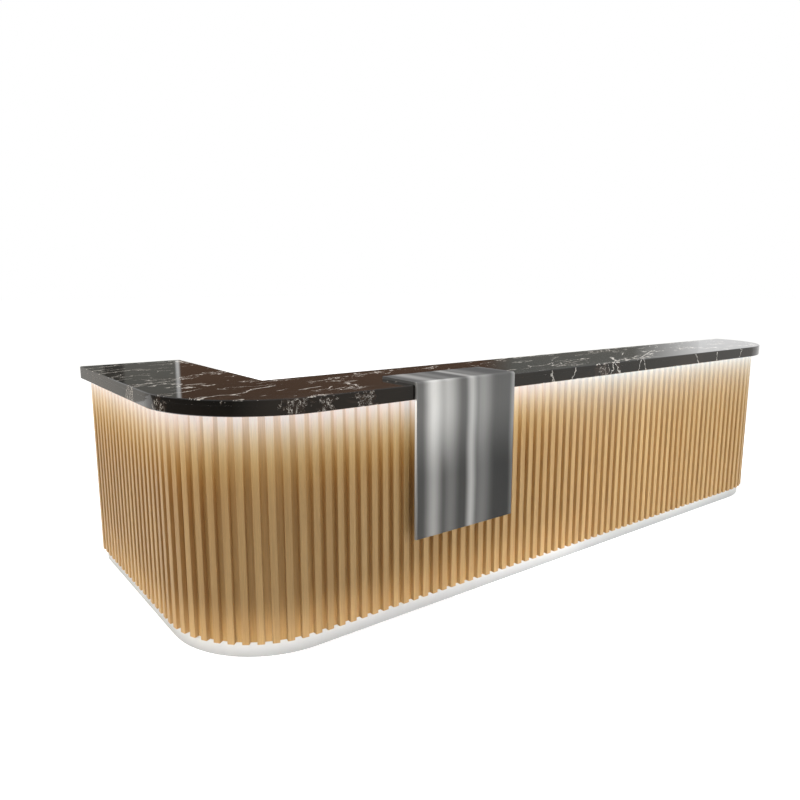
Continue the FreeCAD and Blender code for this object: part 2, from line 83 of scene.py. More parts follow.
class Finish:
    """A procedural material under construction: one Principled shader and the nodes that feed it."""

    def __init__(self, name, roughness, metallic=0.0, specular=0.5):
        self.material = bpy.data.materials.new(name)
        self.material.use_nodes = True
        self.tree = self.material.node_tree
        self.shader = self.tree.nodes["Principled BSDF"]
        self.shader.inputs["Roughness"].default_value = roughness
        self.shader.inputs["Metallic"].default_value = metallic
        self.shader.inputs["Specular IOR Level"].default_value = specular
        self.place = self.node("ShaderNodeTexCoord").outputs["Object"]

    def node(self, kind, **settings):
        made = self.tree.nodes.new(kind)
        for key, value in settings.items():
            setattr(made, key, value)
        return made

    def feed(self, socket, value):
        if isinstance(value, bpy.types.NodeSocket):
            self.tree.links.new(value, socket)
        else:
            socket.default_value = value

    def to_shader(self, name, value):
        self.feed(self.shader.inputs[name], value)

    def glow(self, colour, strength=1.0):
        """Light that the surface gives off."""
        self.to_shader("Emission Color", colour)
        self.to_shader("Emission Strength", strength)

    def maths(self, operation, first, second=0.0):
        made = self.node("ShaderNodeMath", operation=operation)
        self.feed(made.inputs[0], first)
        self.feed(made.inputs[1], second)
        return made.outputs[0]

    def times(self, first, second):
        return self.maths("MULTIPLY", first, second)

    def distance(self, first, second):
        """How far apart two numbers are."""
        return self.maths("ABSOLUTE", self.maths("SUBTRACT", first, second))

    def stretched(self, scale, turn=0.0, shift=(0, 0, 0), source=None):
        """Object coordinates, turned about Z and then scaled axis by axis."""
        turned_place = self.node("ShaderNodeMapping", vector_type="POINT")
        self.feed(turned_place.inputs["Vector"], source or self.place)
        turned_place.inputs["Rotation"].default_value = (0, 0, turn)
        scaled = self.node("ShaderNodeMapping", vector_type="POINT")
        self.feed(scaled.inputs["Vector"], turned_place.outputs["Vector"])
        scaled.inputs["Scale"].default_value = scale
        scaled.inputs["Location"].default_value = shift
        return scaled.outputs["Vector"]

    def noise(self, vector, scale=1.0, detail=4.0, roughness=0.5, distortion=0.0):
        made = self.node("ShaderNodeTexNoise")
        self.feed(made.inputs["Vector"], vector)
        made.inputs["Scale"].default_value = scale
        made.inputs["Detail"].default_value = detail
        made.inputs["Roughness"].default_value = roughness
        made.inputs["Distortion"].default_value = distortion
        return made.outputs["Fac"]

    def ramp(self, value, low, high, start=0.0, stop=1.0, smooth=True):
        """A value from start to stop while the input goes from low to high."""
        made = self.node("ShaderNodeMapRange", interpolation_type="SMOOTHSTEP" if smooth else "LINEAR")
        self.feed(made.inputs["Value"], value)
        made.inputs["From Min"].default_value = low
        made.inputs["From Max"].default_value = high
        made.inputs["To Min"].default_value = start
        made.inputs["To Max"].default_value = stop
        return made.outputs["Result"]

    def mix(self, share, first, second):
        """A colour between two colours."""
        made = self.node("ShaderNodeMix", data_type="RGBA")
        self.feed(made.inputs[0], share)
        self.feed(made.inputs[6], first)
        self.feed(made.inputs[7], second)
        return made.outputs[2]

    def between(self, share, first, second):
        """A number between two numbers."""
        made = self.node("ShaderNodeMix", data_type="FLOAT")
        self.feed(made.inputs[0], share)
        self.feed(made.inputs[2], first)
        self.feed(made.inputs[3], second)
        return made.outputs[0]

    def axis(self, name, source=None):
        made = self.node("ShaderNodeSeparateXYZ")
        self.feed(made.inputs[0], source or self.place)
        return made.outputs[name]

    def facing(self, name):
        """How much of its normal a face has along an axis, from -1 to 1."""
        return self.axis(name, self.node("ShaderNodeNewGeometry").outputs["True Normal"])

    def upright(self):
        """1 on faces that stand upright, 0 on level ones."""
        return self.ramp(self.maths("ABSOLUTE", self.facing("Z")), *LOOKING_ALONG, 1.0, 0.0)

    def faded(self, depth):
        """1 at no depth, falling away as it grows."""
        return self.maths("POWER", math.e, self.times(depth, -1.0))

    def island(self):
        return self.node("ShaderNodeNewGeometry").outputs["Random Per Island"]

    def moved_by_island(self, vector, reach):
        """Coordinates shifted by a different amount on each loose piece of the mesh."""
        along = self.times(self.island(), reach)
        shift = self.node("ShaderNodeCombineXYZ")
        for socket in shift.inputs:
            self.feed(socket, along)
        made = self.node("ShaderNodeVectorMath", operation="ADD")
        self.feed(made.inputs[0], vector)
        self.feed(made.inputs[1], shift.outputs[0])
        return made.outputs[0]

    def bump(self, height, depth, strength):
        made = self.node("ShaderNodeBump")
        made.inputs["Strength"].default_value = strength
        made.inputs["Distance"].default_value = depth
        self.feed(made.inputs["Height"], height)
        self.to_shader("Normal", made.outputs["Normal"])


# Timber: how often its figure repeats in a metre, across the grain and along it
GROWTH_BANDS = (34, 1.1)
WOOD_FIBRE = (520, 9)
WOOD_PORES = (900, 26)
# How far the figure is shifted from one board to the next
BOARD_SHIFT = 7.0
WOOD_ROUGHNESS = 0.46


def wood(name, pale, dark, grain, spread, flat=False, lit=0.0, one_sided=False, boxed=False):
    """Straight-grained timber along one axis of the object: growth bands, fine fibre and open pores.

    grain is the axis, spread is how much the boards differ in tone, flat is a quieter veneer, lit is
    how much it takes of the painted glow that stands in for the light in the overhang, one_sided keeps
    that glow to the faces that look outwards, and boxed turns the grain along X on the boards that face
    along Y."""
    finish = Finish(name, WOOD_ROUGHNESS, specular=0.35)
    along = "XYZ".index(grain)

    def figure(repeats, **settings):
        across, length = repeats
        scale = [across] * 3
        scale[along] = length
        return finish.noise(finish.stretched(scale, source=place), **settings)

    source = turned_grain(finish) if boxed else finish.place
    place = finish.moved_by_island(source, BOARD_SHIFT)
    bands = figure(GROWTH_BANDS, detail=3, distortion=0.6)
    fibre = figure(WOOD_FIBRE, detail=4, roughness=0.65)
    pore = finish.ramp(figure(WOOD_PORES, detail=2), 0.60, 0.74)
    colour = finish.mix(finish.ramp(bands, 0.32, 0.68), pale, dark)
    fine = finish.ramp(fibre, 0.25, 0.78, 0.90 if flat else 0.84, 1.08)
    fine = finish.maths("SUBTRACT", fine, finish.times(pore, 0.10 if flat else 0.16))
    board = finish.ramp(finish.island(), 0.0, 1.0, 1 - spread / 2, 1 + spread / 2, smooth=False)
    shade = finish.node("ShaderNodeHueSaturation")
    finish.feed(shade.inputs["Value"], finish.times(fine, board))
    finish.feed(shade.inputs["Color"], colour)
    finish.to_shader("Base Color", shade.outputs["Color"])
    rough = finish.ramp(fibre, 0.3, 0.7, WOOD_ROUGHNESS - 0.06, WOOD_ROUGHNESS + 0.10)
    finish.to_shader("Roughness", rough)
    finish.bump(finish.maths("SUBTRACT", fibre, pore), 0.0004, 0.35)
    # The strip's light on the wall is painted into the finish as its own glow
    if lit:
        painted_light_wash(finish, fibre, lit, facing_out(finish) if one_sided else 1.0)
    return finish.material


def turned_grain(finish):
    """Object coordinates with X and Y swapped on the faces that look along Y."""
    swapped = finish.node("ShaderNodeCombineXYZ")
    for socket, axis in zip(swapped.inputs, "YXZ"):
        finish.feed(socket, finish.axis(axis))
    along_y = finish.ramp(finish.maths("ABSOLUTE", finish.facing("Y")), *LOOKING_ALONG)
    chosen = finish.node("ShaderNodeMix", data_type="VECTOR")
    finish.feed(chosen.inputs[0], along_y)
    finish.feed(chosen.inputs[4], finish.place)
    finish.feed(chosen.inputs[5], swapped.outputs[0])
    return chosen.outputs[1]


# The wash of light down the slats, painted as a glow given off by the wood's own finish: its strength
# just under the apron and the drop over which it fades, for red, green and blue. Red reaches furthest, so
# the wash turns from white to the colour of the wood. It is cooler at the right end of the counter. At
# the left it stays bright further down and then falls faster. WASH_TURN is the stretch along the counter
# where the left end's wash turns into the right's.
WASH_LEFT = ((0.525, 0.144), (0.577, 0.118), (0.670, 0.087))
WASH_LEFT_FALL = 1.4
WASH_RIGHT = ((0.395, 0.120), (0.605, 0.098), (0.785, 0.082))
WASH_RIGHT_FALL = 1.0
WASH_TURN = (-0.60, 0.20)
# Painted glow on the feet of the slats, for the little light that the pale floor throws back on them
PAINTED_FOOT_GLOW = (0.020, 0.015, 0.010)
PAINTED_FOOT_FADE = 0.19
# How softly the outward faces of the wall part from the inward ones
OUTWARD_SOFTNESS = 0.1


def facing_out(finish):
    """1 on the faces of the wall that look outwards, 0 on those that look into the bays."""
    to_end = finish.times(finish.maths("SIGN", finish.axis("X")), finish.facing("X"))
    outward = finish.maths("SUBTRACT", to_end, finish.facing("Y"))
    return finish.ramp(outward, -OUTWARD_SOFTNESS, OUTWARD_SOFTNESS)


def painted_light_wash(finish, fibre, share, outside):
    """Painted glow in the finish itself for the light from the strip, white under the apron and fading
    down the wall, with a faint painted glow at the feet for the light that the floor throws back.
    """
    drop = finish.maths("MAXIMUM", finish.maths("SUBTRACT", APRON_BOTTOM, finish.axis("Z")), 0.0)
    rise = finish.maths("SUBTRACT", finish.axis("Z"), SLAT_BOTTOM)
    # Painted glow at the feet of the slats, for light from the pale floor
    foot = finish.faded(finish.maths("DIVIDE", rise, PAINTED_FOOT_FADE))
    grain = finish.times(finish.ramp(fibre, 0.25, 0.75, 0.92, 1.06), outside)
    to_right = finish.ramp(finish.axis("X"), *WASH_TURN)
    wash = finish.node("ShaderNodeCombineColor")

    def washed(strength, fade, fall):
        depth = finish.maths("POWER", finish.maths("DIVIDE", drop, fade), fall)
        return finish.times(finish.faded(depth), share * strength)

    for socket, left, right, low in zip(wash.inputs, WASH_LEFT, WASH_RIGHT, PAINTED_FOOT_GLOW):
        level = finish.between(to_right, washed(*left, WASH_LEFT_FALL), washed(*right, WASH_RIGHT_FALL))
        level = finish.maths("ADD", level, finish.times(foot, low))
        finish.feed(socket, finish.times(level, grain))
    finish.glow(wash.outputs[0])


# Veins of the stone run a little round from the length of the counter
VEIN_TURN = math.radians(-14)
# How far a noise may be from its middle value inside a band of crackle
BAND_WIDTH = 0.022
# Small clusters of curled lines on the upright edge: where each one sits and how far it reaches
EDGE_CLUSTERS = (
    ((-2.00, -0.37, 0.965), 0.055),
    ((-1.87, -0.56, 0.985), 0.036),
    ((-1.67, -0.72, 0.970), 0.052),
    ((-1.54, -0.73, 0.965), 0.036),
    ((-1.37, -0.73, 0.972), 0.040),
    ((0.08, -0.73, 0.962), 0.040),
    ((-2.05, -0.06, 0.965), 0.060),
)
# How much the outline of a cluster varies
CLUSTER_RAGGED = 0.03
# Hairlines down the front edge: place along the counter at half height, and lean
EDGE_MIDDLE = 0.97
EDGE_HAIRLINES = (
    (-0.315, -0.30),
    (-0.155, 0.60),
    (0.15, 0.25),
    (0.19, -0.60),
    (0.38, 0.30),
    (0.43, -0.45),
    (0.94, -0.65),
    (1.16, 0.15),
    (1.44, 0.25),
)
# How far a hairline wanders, the distances from it at which it starts and ends fading, and its strength
HAIRLINE_WANDER = 0.012
HAIRLINE_FADE = (0.0006, 0.0036)
HAIRLINE_STRENGTH = 0.75

STONE_BLACK = srgb(18, 17, 15)
STONE_BROWN = srgb(36, 29, 24)
STONE_STAIN = srgb(74, 56, 46)
STONE_VEIN = srgb(238, 231, 222)


def stone():
    """Polished black stone: brown clouds, long thin wavy veins, crackled bands, and on the upright edge
    clusters of curled lines and hairlines."""
    finish = Finish("polished_stone", 0.06, specular=0.40)

    def patches(scale, shift, *levels, turn=VEIN_TURN, detail=4):
        return finish.ramp(finish.noise(finish.stretched(scale, turn, shift), detail=detail), *levels)

    def crossing(field, core, width):
        """Narrow lines where a noise crosses its middle value."""
        return finish.ramp(finish.distance(field, 0.5), core, width, 1.0, 0.0)

    def crackle(scale, thin, thick, bend, shaken, shift=(0, 0, 0)):
        """Thin lines along the edges of bent cells."""
        shake = finish.node("ShaderNodeVectorMath", operation="MULTIPLY_ADD")
        finish.feed(shake.inputs[0], bend)
        shake.inputs[1].default_value = [shaken] * 3
        finish.feed(shake.inputs[2], finish.stretched(scale, VEIN_TURN, shift))
        web = finish.node("ShaderNodeTexVoronoi", feature="DISTANCE_TO_EDGE")
        finish.feed(web.inputs["Vector"], shake.outputs[0])
        web.inputs["Scale"].default_value = 1.0
        return finish.ramp(web.outputs["Distance"], thin, thick, 1.0, 0.0)

    def scribble(scale, shift, width):
        """Thin curled lines."""
        field = finish.noise(finish.stretched(scale, 0.0, shift), detail=2, distortion=1.4)
        return crossing(field, 0.0, width)

    bent = finish.noise(finish.stretched((28, 28, 28)), detail=3)
    wavy = finish.noise(finish.stretched((6, 6, 6)), detail=5)
    broken = patches((4.0, 6.0, 5.0), (3, 1, 2), 0.52, 0.56)
    band_field = finish.stretched((1.0, 6.5, 2.4), VEIN_TURN)
    band_field = finish.noise(band_field, detail=4, roughness=0.55, distortion=0.7)
    bands = finish.times(crossing(band_field, 0.4 * BAND_WIDTH, BAND_WIDTH), broken)
    netted = finish.times(bands, crackle((13, 46, 40), 0.02, 0.08, bent, 1.1))
    core = finish.times(crackle((1.6, 6.5, 6.5), 0.005, 0.018, wavy, 1.2), broken)
    fine = crackle((2.6, 11.0, 11.0), 0.004, 0.018, wavy, 1.6, (4, 7, 1))
    fine = finish.times(fine, patches((5.0, 9.0, 6.0), (8, 3, 5), 0.54, 0.57))
    on_top = finish.maths("MAXIMUM", finish.maths("MAXIMUM", netted, core), fine)

    def shifted(scale, shift, reach):
        """A length that varies from place to place, by reach either way."""
        return patches((scale,) * 3, shift, 0.2, 0.8, -reach, reach, turn=0.0, detail=3)

    ragged = shifted(34, (1, 4, 2), CLUSTER_RAGGED)
    clustered = 0.0
    for centre, reach in EDGE_CLUSTERS:
        away = finish.node("ShaderNodeVectorMath", operation="DISTANCE")
        finish.feed(away.inputs[0], finish.place)
        away.inputs[1].default_value = centre
        edge = finish.maths("ADD", away.outputs["Value"], ragged)
        clustered = finish.maths("MAXIMUM", clustered, finish.ramp(edge, 0.7 * reach, reach, 1.0, 0.0))
    gaps = patches((75, 75, 55), (5, 3, 7), 0.40, 0.56, turn=0.0, detail=2)
    large = scribble((34, 34, 26), (3, 9, 1), 0.030)
    small = scribble((70, 70, 50), (6, 2, 8), 0.026)
    on_edge = finish.times(finish.maths("MAXIMUM", large, small), finish.times(clustered, gaps))

    along = finish.maths("ADD", finish.axis("X"), shifted(45, (2, 8, 6), HAIRLINE_WANDER))
    height = finish.maths("SUBTRACT", finish.axis("Z"), EDGE_MIDDLE)
    for place, lean in EDGE_HAIRLINES:
        line = finish.maths("ADD", place, finish.times(height, lean))
        hairline = finish.ramp(finish.distance(along, line), *HAIRLINE_FADE, HAIRLINE_STRENGTH, 0.0)
        on_edge = finish.maths("MAXIMUM", on_edge, hairline)

    veins = finish.between(finish.upright(), on_top, on_edge)
    cloud = patches((1.3, 2.0, 1.6), (2, 5, 3), 0.40, 0.66)
    stained = finish.maths("MAXIMUM", finish.times(bands, 0.30), finish.times(clustered, 0.35))
    ground = finish.mix(stained, finish.mix(cloud, STONE_BLACK, STONE_BROWN), STONE_STAIN)
    finish.to_shader("Base Color", finish.mix(veins, ground, STONE_VEIN))
    finish.to_shader("Roughness", finish.ramp(veins, 0.0, 1.0, 0.05, 0.14))
    return finish.material


# Soft upright streaks, partly the brushed sheet's own and partly painted highlights, which are strongest
# high on the front: place and half width as shares of its width from the left, and how much each one
# lifts the tone high on the front and near the foot. The narrow one at the left edge is a painted
# highlight.
SHEET_STREAKS_AND_HIGHLIGHTS = (
    (0.00, 0.014, 0.22, 0.16),
    (0.16, 0.11, 0.67, 0.31),
    (0.30, 0.15, 0.42, 0.00),
    (0.33, 0.10, 0.00, 0.11),
    (0.54, 0.07, 0.40, 0.38),
    (0.66, 0.14, 0.20, 0.12),
    (1.00, 0.06, 0.24, 0.11),
)
# How far a streak drifts sideways, as a share of the width
STREAK_DRIFT = 0.006
# Tone between the streaks at the left and the right edge, high on the front and near the foot. The front
# is painted lighter high up and darker towards the foot, standing in for the light that it reflects.
TONE_HIGH = (0.205, 0.145)
TONE_LOW = (0.090, 0.045)
# Shares of the sheet's height between which the low tone turns into the high one
TONE_RISE = (0.35, 0.85)
SHEET_COLOUR = (1.0, 0.99, 0.97, 1.0)
# Distances behind the front face over which the front's painted highlight gives way to the flange's
# painted shade
SHEET_BEND = (0.002, 0.02)
# Painted shade: the flange's colour is darkened to offset the studio light that falls on it
FLANGE_PAINTED_SHADE = 0.72
# Painted glow on the folded sides of the sheet, standing in for the strip's light: its colour just under
# the apron, the drop that it fades over, how softly it starts, and the shares of a normal at which a face
# starts to be a side, and is
SIDE_PAINTED_GLOW = (0.85, 0.82, 0.77, 1.0)
SIDE_FADE = 0.26
SIDE_SOFTNESS = 0.005
SIDE_FACING = (0.7, 0.9)


def sign_steel():
    """Brushed sheet with soft upright streaks that run over the bend, partly its own and partly painted
    highlights, painted darker towards its lower edge, with painted shade on the flange and a painted glow
    on its folded sides.
    """
    finish = Finish("brushed_sign_steel", 0.48, metallic=0.22, specular=0.10)
    across = finish.ramp(finish.axis("X"), SIGN_LOW.x, SIGN_HIGH.x, smooth=False)
    drift = finish.noise(finish.stretched((0.6, 0.5, 1.3)), scale=2.0, detail=2)
    across = finish.maths("ADD", across, finish.ramp(drift, 0.3, 0.7, -STREAK_DRIFT, STREAK_DRIFT))
    height = SIGN_HIGH.z - SIGN_LOW.z
    # high marks the upper front, where the tone and the streaks carry painted highlight
    high = finish.ramp(finish.axis("Z"), *(SIGN_LOW.z + share * height for share in TONE_RISE))
    on_front = finish.ramp(finish.axis("Y"), *(SIGN_LOW.y + depth for depth in SHEET_BEND), 1.0, 0.0)
    high = finish.times(high, on_front)

    tone_low = finish.ramp(across, 0.0, 1.0, *TONE_LOW)
    tone_high = finish.ramp(across, 0.0, 1.0, *TONE_HIGH)
    tone = finish.between(high, tone_low, tone_high)
    # Each streak lifts the tone, partly as the sheet's own brushed band and, high on the front, as
    # painted highlight
    for place, half_width, lift_high, lift_low in SHEET_STREAKS_AND_HIGHLIGHTS:
        streak = finish.ramp(finish.distance(across, place), 0.0, half_width, 1.0, 0.0)
        tone = finish.maths("ADD", tone, finish.times(streak, finish.between(high, lift_low, lift_high)))
    # Painted shade on the flange
    tone = finish.times(tone, finish.ramp(on_front, 0.0, 1.0, FLANGE_PAINTED_SHADE, 1.0))
    brushed = finish.noise(finish.stretched((1500, 5, 2.5)), detail=3, roughness=0.6)
    tone = finish.times(tone, finish.ramp(brushed, 0.25, 0.75, 0.96, 1.12))
    finish.to_shader("Base Color", finish.mix(tone, BLACK, SHEET_COLOUR))
    finish.to_shader("Roughness", finish.ramp(brushed, 0.2, 0.8, 0.45, 0.57))
    finish.bump(brushed, 0.0002, 0.2)

    # Painted glow on the folded sides of the sheet, for the strip's light falling on them
    on_side = finish.ramp(finish.maths("ABSOLUTE", finish.facing("X")), *SIDE_FACING)
    drop = finish.maths("SUBTRACT", APRON_BOTTOM, finish.axis("Z"))
    fading = finish.faded(finish.maths("DIVIDE", drop, SIDE_FADE))
    below = finish.ramp(drop, -SIDE_SOFTNESS, SIDE_SOFTNESS)
    painted_side_light = finish.times(finish.times(on_side, fading), below)
    finish.glow(finish.mix(painted_side_light, BLACK, SIDE_PAINTED_GLOW))
    return finish.material


# Satin metal: lines in a metre across the brushing and along it, and how dark they are
BRUSHED_ACROSS = 900.0
BRUSHED_ALONG = 12.0
BRUSHED_SHADE = 0.78


def metal(name, colour, roughness, along):
    """Satin metal, brushed along one axis."""
    finish = Finish(name, roughness, metallic=1.0)
    scale = [BRUSHED_ACROSS] * 3
    scale["XYZ".index(along)] = BRUSHED_ALONG
    lines = finish.noise(finish.stretched(scale), detail=3, roughness=0.6)
    smudge = finish.noise(finish.stretched((22, 22, 22)), detail=4)
    tone = finish.mix(finish.ramp(lines, 0.3, 0.75), shaded(colour, BRUSHED_SHADE), colour)
    finish.to_shader("Base Color", tone)
    finish.to_shader("Roughness", finish.ramp(smudge, 0.3, 0.7, roughness - 0.07, roughness + 0.10))
    finish.bump(lines, 0.0002, 0.25)
    return finish.material


# Shades of laminate: its mottling, the specks of its skin, and its foot, darker towards the floor
MOTTLE_SHADE = 0.93
SPECK_SHADE = 0.80
LOW_DARKENING = 0.66


def laminate(name, colour, roughness, grain=0.35, darker_below=0.0):
    """Pressed laminate or melamine: a fine pebbled skin, faintly mottled.

    grain is how strongly the skin stands out, and the board is darker towards the floor, up to the height
    darker_below."""
    finish = Finish(name, roughness, specular=0.45)
    pebble = finish.noise(finish.stretched((420, 420, 420)), detail=3, roughness=0.6)
    mottle = finish.noise(finish.stretched((3.5, 3.5, 3.5)), detail=5)
    skin = finish.mix(finish.ramp(mottle, 0.3, 0.7), colour, shaded(colour, MOTTLE_SHADE))
    speck = finish.ramp(pebble, 0.3, 0.7, 0.0, 0.10)
    skin = finish.mix(speck, skin, shaded(colour, SPECK_SHADE))
    # Darker towards the floor, up to the given height
    if darker_below:
        darkened_low = finish.ramp(finish.axis("Z"), 0.0, darker_below, 1.0, 0.0)
        skin = finish.mix(darkened_low, skin, shaded(colour, LOW_DARKENING))
    finish.to_shader("Base Color", skin)
    finish.to_shader("Roughness", finish.ramp(mottle, 0.3, 0.7, roughness - 0.05, roughness + 0.08))
    finish.bump(pebble, 0.00025, grain)
    return finish.material


# Birch ply: the thickness of a pale and a dark ply together, and the pale and dark tones of face and edge
PLY_PAIR = 0.0036
BIRCH_FACE = (srgb(214, 184, 140), srgb(188, 152, 106))
BIRCH_EDGE = (srgb(206, 172, 126), srgb(138, 104, 68))


def plywood():
    """Birch ply: quiet face grain, and thin plies, pale and dark by turns, on the cut edges."""
    finish = Finish("plywood", 0.6, specular=0.3)
    plies = finish.maths("FRACT", finish.maths("DIVIDE", finish.axis("Z"), PLY_PAIR))
    ply = finish.ramp(finish.distance(plies, 0.5), 0.18, 0.30)
    figure = finish.noise(finish.stretched((3, 40, 40)), detail=5, distortion=0.8)
    face = finish.mix(finish.ramp(figure, 0.3, 0.7), *BIRCH_FACE)
    finish.to_shader("Base Color", finish.mix(finish.upright(), face, finish.mix(ply, *BIRCH_EDGE)))
    finish.bump(figure, 0.0004, 0.2)
    return finish.material


PLASTIC_ROUGHNESS = 0.5
PLASTIC_BLOOM = 1.18


def plastic(name, colour):
    """Moulded plastic with a fine spark-eroded grain and a faint paler bloom."""
    finish = Finish(name, PLASTIC_ROUGHNESS)
    grain = finish.noise(finish.stretched((700, 700, 700)), detail=2)
    cloud = finish.noise(finish.stretched((14, 14, 14)), detail=3)
    bloom = finish.mix(finish.ramp(cloud, 0.3, 0.7), colour, shaded(colour, PLASTIC_BLOOM))
    finish.to_shader("Base Color", bloom)
    rough = finish.ramp(grain, 0.3, 0.7, PLASTIC_ROUGHNESS - 0.06, PLASTIC_ROUGHNESS + 0.10)
    finish.to_shader("Roughness", rough)
    finish.bump(grain, 0.0002, 0.3)
    return finish.material


LAMP_WHITE = srgb(255, 246, 228)


def lit_plastic(name, colour, strength):
    """Opal plastic with the strip's light behind it, slightly uneven."""
    finish = Finish(name, 0.4)
    cells = finish.noise(finish.stretched((60, 60, 60)), detail=2)
    tone = finish.mix(finish.ramp(cells, 0.3, 0.7), colour, LAMP_WHITE)
    finish.to_shader("Base Color", tone)
    finish.glow(tone, strength)
    return finish.material


# Pale and dark tone of each timber
OAK = (srgb(203, 166, 112), srgb(190, 151, 98))
OAK_VENEER = (srgb(207, 168, 108), srgb(189, 149, 90))
BIRCH = (srgb(222, 194, 152), srgb(204, 172, 128))

FINISHES = {
    "stone": stone(),
    "plywood": plywood(),
    # The slats and their backing carry the strip's light as a painted glow
    "oak": wood("oak_slats", *OAK, "Z", spread=0.07, lit=1.0),
    "oak_backing": wood("oak_backing", *OAK_VENEER, "Z", spread=0.05, lit=0.66, one_sided=True),
    "white_plinth": laminate("white_plinth", srgb(228, 228, 227), 0.36, grain=0.15, darker_below=0.06),
    "carcass": laminate("carcass_melamine", srgb(226, 224, 219), 0.48),
    "fronts": laminate("front_laminate", srgb(232, 230, 226), 0.38, grain=0.25),
    "drawer_board": wood("drawer_birch", *BIRCH, "Y", spread=0.06, flat=True, boxed=True),
    "foot_plastic": plastic("foot_plastic", srgb(44, 44, 45)),
    "channel_aluminium": metal("channel_aluminium", srgb(205, 206, 208), 0.34, "X"),
    "led_strip": lit_plastic("led_strip", srgb(255, 232, 196), 1.2),
    "diffuser": lit_plastic("led_diffuser", srgb(255, 238, 208), 2.0),
    "driver_case": metal("driver_case", srgb(176, 178, 180), 0.42, "X"),
    "sign_steel": sign_steel(),
    "hinge_steel": metal("hinge_steel", srgb(192, 192, 194), 0.28, "Z"),
    "handle_steel": metal("handle_steel", srgb(188, 188, 190), 0.30, "Z"),
    "runner_steel": metal("runner_steel", srgb(186, 190, 196), 0.36, "Y"),
}

# Width of the eased edge on each finish, in metres
EASED_EDGE = {
    "stone": 0.0003,
    "oak": 0.0010,
    "oak_backing": 0.0003,
    "white_plinth": 0.0010,
    "carcass": 0.0006,
    "fronts": 0.0012,
    "drawer_board": 0.0008,
    "handle_steel": 0.0010,
    "sign_steel": 0.0006,
}
EASED_SEGMENTS = 2
WELD_DISTANCE = 0.000002
EDGE_ANGLE = math.radians(35)
# How much the larger faces count in the normals that neighbours share
FACE_WEIGHT = 80


def welded(piece):
    """A copy of a piece's mesh with its faces joined, for the caller to free."""
    joined = bmesh.new()
    joined.from_mesh(piece.data)
    bmesh.ops.remove_doubles(joined, verts=joined.verts, dist=WELD_DISTANCE)
    return joined


def solids_touch(piece):
    """True where solids of one node share an edge, which a bevel can't ease."""
    joined = welded(piece)
    shared = any(len(edge.link_faces) > 2 for edge in joined.edges)
    joined.free()
    return shared


def crisp_edges(piece):
    crisp = piece.modifiers.new("crisp_edges", "EDGE_SPLIT")
    crisp.split_angle = EDGE_ANGLE


def dress(node, slot):
    """Give a carried-over node its finish, joined faces and eased or crisp edges."""
    piece = NODES[node]
    piece.data.materials.clear()
    piece.data.materials.append(FINISHES[slot])
    weld = piece.modifiers.new("joined_faces", "WELD")
    weld.merge_threshold = WELD_DISTANCE
    if slot in EASED_EDGE and not solids_touch(piece):
        eased = piece.modifiers.new("eased_edges", "BEVEL")
        eased.width = EASED_EDGE[slot]
        eased.segments = EASED_SEGMENTS
        eased.limit_method = "ANGLE"
        eased.angle_limit = EDGE_ANGLE
        eased.use_clamp_overlap = True
    else:
        crisp_edges(piece)


def shade_smooth(piece):
    """Smooth shading with even normals, in place of the imported ones."""
    bpy.context.view_layer.objects.active = piece
    piece.select_set(True)
    bpy.ops.mesh.customdata_custom_splitnormals_clear()
    piece.select_set(False)
    for polygon in piece.data.polygons:
        polygon.use_smooth = True
    weighted = piece.modifiers.new("even_normals", "WEIGHTED_NORMAL")
    weighted.keep_sharp = True
    weighted.weight = FACE_WEIGHT


for row in frame["record"]["subparts"]:
    dress(row["node"], row["material_slot"])
    shade_smooth(NODES[row["node"]])

# Sides of a turned piece
TURNED_STEPS = 14


def turned(rings):
    """Mesh of a turned piece standing on the origin: rings are (radius, height) from foot to tip."""
    steps = TURNED_STEPS
    points = []
    for radius, height in rings:
        for step in range(steps):
            angle = math.tau * step / steps
            points.append(Vector((radius * math.cos(angle), radius * math.sin(angle), height)))
    faces = [tuple(range(steps - 1, -1, -1))]
    for ring in range(len(rings) - 1):
        start = ring * steps
        for step in range(steps):
            after = (step + 1) % steps
            faces.append((start + step, start + after, start + steps + after, start + steps + step))
    last = (len(rings) - 1) * steps
    faces.append(tuple(range(last, last + steps)))
    return points, faces


def add_fittings(name, rings, places, body, slot):
    """Copies of one turned piece as one mesh. places are pairs of a foot point and the way it points."""
    shape, sides = turned(rings)
    points = []
    faces = []
    for foot, way in places:
        turn = Vector((0, 0, 1)).rotation_difference(Vector(way)).to_matrix()
        first = len(points)
        points += [turn @ point + Vector(foot) for point in shape]
        faces += [tuple(first + corner for corner in side) for side in sides]
    mesh = bpy.data.meshes.new(name)
    mesh.from_pydata(points, [], faces)
    piece = bpy.data.objects.new(name, mesh)
    bpy.context.scene.collection.objects.link(piece)
    for polygon in mesh.polygons:
        polygon.use_smooth = True
    mesh.materials.append(FINISHES[slot])
    crisp_edges(piece)
    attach(piece, body)


def boxes_of(node):
    """Lowest and highest corners of each separate solid of a node."""
    joined = welded(NODES[node])
    left = set(joined.verts)
    found = []
    while left:
        reached = [left.pop()]
        solid = []
        while reached:
            vertex = reached.pop()
            solid.append(vertex.co.copy())
            for edge in vertex.link_edges:
                other = edge.other_vert(vertex)
                if other in left:
                    left.remove(other)
                    reached.append(other)
        lowest = Vector(min(point[axis] for point in solid) for axis in range(3))
        highest = Vector(max(point[axis] for point in solid) for axis in range(3))
        found.append((lowest, highest))
    joined.free()
    return sorted(found, key=lambda corners: tuple(corners[0]))


